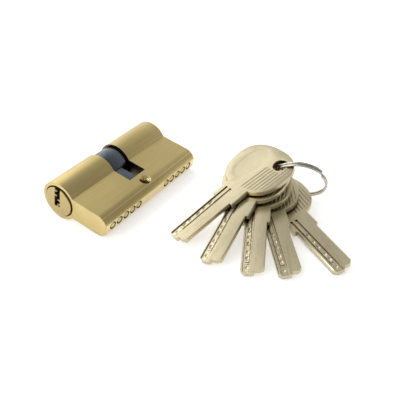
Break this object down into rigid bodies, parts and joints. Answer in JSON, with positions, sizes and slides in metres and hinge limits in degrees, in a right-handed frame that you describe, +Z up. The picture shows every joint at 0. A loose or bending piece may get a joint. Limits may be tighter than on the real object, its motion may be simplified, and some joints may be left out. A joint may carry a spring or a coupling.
{
  "type": "euro profile door lock cylinder with keys",
  "caption": "Double euro-profile lock cylinder in satin brass with a steel cam, pin tumblers and a fixing screw hole, with flat dimple keys on a split ring.",
  "frame": {"origin": "middle of the footprint, on the surface that the cylinder and keys lie on", "axes": "+Z up, +Y along the cylinder from its near keyed end to its far end, +X the way the flange points, towards the keys"},
  "size_m": [0.1188, 0.0722, 0.022],
  "materials": {
    "satin_brass": "satin, finely brushed along the length",
    "plug_brass": "turned, satin",
    "cam_steel": "blue-grey sintered steel, satin",
    "spring_steel": "plain",
    "key_nickel": "warm nickel silver, satin",
    "ring_nickel": "bright nickel plate"
  },
  "bodies": {
    "housing": {"housing": "satin_brass", "front_chamber_cap_1": "plug_brass", "front_chamber_cap_2": "plug_brass", "front_chamber_cap_3": "plug_brass", "front_chamber_cap_4": "plug_brass", "front_chamber_cap_5": "plug_brass", "rear_chamber_cap_1": "plug_brass", "rear_chamber_cap_2": "plug_brass", "rear_chamber_cap_3": "plug_brass", "rear_chamber_cap_4": "plug_brass", "rear_chamber_cap_5": "plug_brass", "front_pin_spring_1": "spring_steel", "front_pin_spring_2": "spring_steel", "front_pin_spring_3": "spring_steel", "front_pin_spring_4": "spring_steel", "front_pin_spring_5": "spring_steel", "rear_pin_spring_1": "spring_steel", "rear_pin_spring_2": "spring_steel", "rear_pin_spring_3": "spring_steel", "rear_pin_spring_4": "spring_steel", "rear_pin_spring_5": "spring_steel"},
    "front_plug": {"front_plug": "plug_brass", "front_circlip": "spring_steel"},
    "rear_plug": {"rear_plug": "plug_brass", "rear_circlip": "spring_steel"},
    "cam": {"cam": "cam_steel"},
    "clutch": {"clutch_front": "cam_steel", "clutch_rear": "cam_steel", "clutch_spring": "spring_steel"},
    "front_key_pin_1": {"front_key_pin_1": "plug_brass"},
    "front_key_pin_2": {"front_key_pin_2": "plug_brass"},
    "front_key_pin_3": {"front_key_pin_3": "plug_brass"},
    "front_key_pin_4": {"front_key_pin_4": "plug_brass"},
    "front_key_pin_5": {"front_key_pin_5": "plug_brass"},
    "rear_key_pin_1": {"rear_key_pin_1": "plug_brass"},
    "rear_key_pin_2": {"rear_key_pin_2": "plug_brass"},
    "rear_key_pin_3": {"rear_key_pin_3": "plug_brass"},
    "rear_key_pin_4": {"rear_key_pin_4": "plug_brass"},
    "rear_key_pin_5": {"rear_key_pin_5": "plug_brass"},
    "front_driver_pin_1": {"front_driver_pin_1": "spring_steel"},
    "front_driver_pin_2": {"front_driver_pin_2": "spring_steel"},
    "front_driver_pin_3": {"front_driver_pin_3": "spring_steel"},
    "front_driver_pin_4": {"front_driver_pin_4": "spring_steel"},
    "front_driver_pin_5": {"front_driver_pin_5": "spring_steel"},
    "rear_driver_pin_1": {"rear_driver_pin_1": "spring_steel"},
    "rear_driver_pin_2": {"rear_driver_pin_2": "spring_steel"},
    "rear_driver_pin_3": {"rear_driver_pin_3": "spring_steel"},
    "rear_driver_pin_4": {"rear_driver_pin_4": "spring_steel"},
    "rear_driver_pin_5": {"rear_driver_pin_5": "spring_steel"},
    "key_ring": {"split_ring": "ring_nickel"},
    "key_1": {"key_1": "key_nickel"},
    "key_2": {"key_2": "key_nickel"},
    "key_3": {"key_3": "key_nickel"},
    "key_4": {"key_4": "key_nickel"},
    "key_5": {"key_5": "key_nickel"}
  },
  "joints": [
    {"name": "front_plug_turn", "type": "hinge", "parent": "housing", "child": "front_plug", "pos_m": [-0.05094, -0.03534, 0.0085], "axis": [0, 1, 0], "continuous": true},
    {"name": "rear_plug_turn", "type": "hinge", "parent": "housing", "child": "rear_plug", "pos_m": [-0.05094, -0.03534, 0.0085], "axis": [0, 1, 0], "continuous": true},
    {"name": "cam_turn", "type": "hinge", "parent": "housing", "child": "cam", "pos_m": [-0.05094, -0.03534, 0.0085], "axis": [0, 1, 0], "continuous": true},
    {"name": "clutch_slide", "type": "slide", "parent": "cam", "child": "clutch", "axis": [0, 1, 0], "range_m": [0, 0.0013], "stiffness_N_per_m": 100, "springref_m": -0.002},
    {"name": "front_key_pin_1_slide", "type": "slide", "parent": "front_plug", "child": "front_key_pin_1", "axis": [0.9844, 0, -0.1757], "range_m": [-0.00115, 0]},
    {"name": "front_key_pin_2_slide", "type": "slide", "parent": "front_plug", "child": "front_key_pin_2", "axis": [0.9844, 0, -0.1757], "range_m": [-0.00115, 0]},
    {"name": "front_key_pin_3_slide", "type": "slide", "parent": "front_plug", "child": "front_key_pin_3", "axis": [0.9844, 0, -0.1757], "range_m": [-0.00115, 0]},
    {"name": "front_key_pin_4_slide", "type": "slide", "parent": "front_plug", "child": "front_key_pin_4", "axis": [0.9844, 0, -0.1757], "range_m": [-0.00115, 0]},
    {"name": "front_key_pin_5_slide", "type": "slide", "parent": "front_plug", "child": "front_key_pin_5", "axis": [0.9844, 0, -0.1757], "range_m": [-0.00115, 0]},
    {"name": "rear_key_pin_1_slide", "type": "slide", "parent": "rear_plug", "child": "rear_key_pin_1", "axis": [0.9844, 0, -0.1757], "range_m": [-0.00115, 0]},
    {"name": "rear_key_pin_2_slide", "type": "slide", "parent": "rear_plug", "child": "rear_key_pin_2", "axis": [0.9844, 0, -0.1757], "range_m": [-0.00115, 0]},
    {"name": "rear_key_pin_3_slide", "type": "slide", "parent": "rear_plug", "child": "rear_key_pin_3", "axis": [0.9844, 0, -0.1757], "range_m": [-0.00115, 0]},
    {"name": "rear_key_pin_4_slide", "type": "slide", "parent": "rear_plug", "child": "rear_key_pin_4", "axis": [0.9844, 0, -0.1757], "range_m": [-0.00115, 0]},
    {"name": "rear_key_pin_5_slide", "type": "slide", "parent": "rear_plug", "child": "rear_key_pin_5", "axis": [0.9844, 0, -0.1757], "range_m": [-0.00115, 0]},
    {"name": "front_driver_pin_1_slide", "type": "slide", "parent": "housing", "child": "front_driver_pin_1", "axis": [0.9844, 0, -0.1757], "range_m": [0, 0.003], "stiffness_N_per_m": 200, "springref_m": -0.004, "deforming": ["front_pin_spring_1"]},
    {"name": "front_driver_pin_2_slide", "type": "slide", "parent": "housing", "child": "front_driver_pin_2", "axis": [0.9844, 0, -0.1757], "range_m": [0, 0.003], "stiffness_N_per_m": 200, "springref_m": -0.004, "deforming": ["front_pin_spring_2"]},
    {"name": "front_driver_pin_3_slide", "type": "slide", "parent": "housing", "child": "front_driver_pin_3", "axis": [0.9844, 0, -0.1757], "range_m": [0, 0.003], "stiffness_N_per_m": 200, "springref_m": -0.004, "deforming": ["front_pin_spring_3"]},
    {"name": "front_driver_pin_4_slide", "type": "slide", "parent": "housing", "child": "front_driver_pin_4", "axis": [0.9844, 0, -0.1757], "range_m": [0, 0.003], "stiffness_N_per_m": 200, "springref_m": -0.004, "deforming": ["front_pin_spring_4"]},
    {"name": "front_driver_pin_5_slide", "type": "slide", "parent": "housing", "child": "front_driver_pin_5", "axis": [0.9844, 0, -0.1757], "range_m": [0, 0.003], "stiffness_N_per_m": 200, "springref_m": -0.004, "deforming": ["front_pin_spring_5"]},
    {"name": "rear_driver_pin_1_slide", "type": "slide", "parent": "housing", "child": "rear_driver_pin_1", "axis": [0.9844, 0, -0.1757], "range_m": [0, 0.003], "stiffness_N_per_m": 200, "springref_m": -0.004, "deforming": ["rear_pin_spring_1"]},
    {"name": "rear_driver_pin_2_slide", "type": "slide", "parent": "housing", "child": "rear_driver_pin_2", "axis": [0.9844, 0, -0.1757], "range_m": [0, 0.003], "stiffness_N_per_m": 200, "springref_m": -0.004, "deforming": ["rear_pin_spring_2"]},
    {"name": "rear_driver_pin_3_slide", "type": "slide", "parent": "housing", "child": "rear_driver_pin_3", "axis": [0.9844, 0, -0.1757], "range_m": [0, 0.003], "stiffness_N_per_m": 200, "springref_m": -0.004, "deforming": ["rear_pin_spring_3"]},
    {"name": "rear_driver_pin_4_slide", "type": "slide", "parent": "housing", "child": "rear_driver_pin_4", "axis": [0.9844, 0, -0.1757], "range_m": [0, 0.003], "stiffness_N_per_m": 200, "springref_m": -0.004, "deforming": ["rear_pin_spring_4"]},
    {"name": "rear_driver_pin_5_slide", "type": "slide", "parent": "housing", "child": "rear_driver_pin_5", "axis": [0.9844, 0, -0.1757], "range_m": [0, 0.003], "stiffness_N_per_m": 200, "springref_m": -0.004, "deforming": ["rear_pin_spring_5"]},
    {"name": "keys_lift", "type": "slide", "parent": "housing", "child": "key_ring", "axis": [0, 0, 1], "range_m": [0, 0.03]},
    {"name": "key_1_swing", "type": "hinge", "parent": "key_ring", "child": "key_1", "pos_m": [0.01675, 0.02402, 0.0176], "axis": [-0.1208, -0.2722, 0.9546], "range_deg": [-20, 0]},
    {"name": "key_2_swing", "type": "hinge", "parent": "key_ring", "child": "key_2", "pos_m": [0.01419, 0.02502, 0.01375], "axis": [-0.1013, -0.2292, 0.9681], "range_deg": [0, 30]},
    {"name": "key_3_swing", "type": "hinge", "parent": "key_ring", "child": "key_3", "pos_m": [0.01347, 0.02636, 0.0104], "axis": [-0.0716, -0.2004, 0.9771], "range_deg": [-6, 0]},
    {"name": "key_4_swing", "type": "hinge", "parent": "key_ring", "child": "key_4", "pos_m": [0.01405, 0.02817, 0.0069], "axis": [-0.0403, -0.1473, 0.9883], "range_deg": [0, 30]},
    {"name": "key_5_swing", "type": "hinge", "parent": "key_ring", "child": "key_5", "pos_m": [0.01601, 0.03016, 0.00395], "axis": [-0.0374, -0.121, 0.9919], "range_deg": [-15, 15]}
  ],
  "couplings": [
    {"joint": "cam_turn", "follows": "front_plug_turn", "ratio": 1}
  ]
}
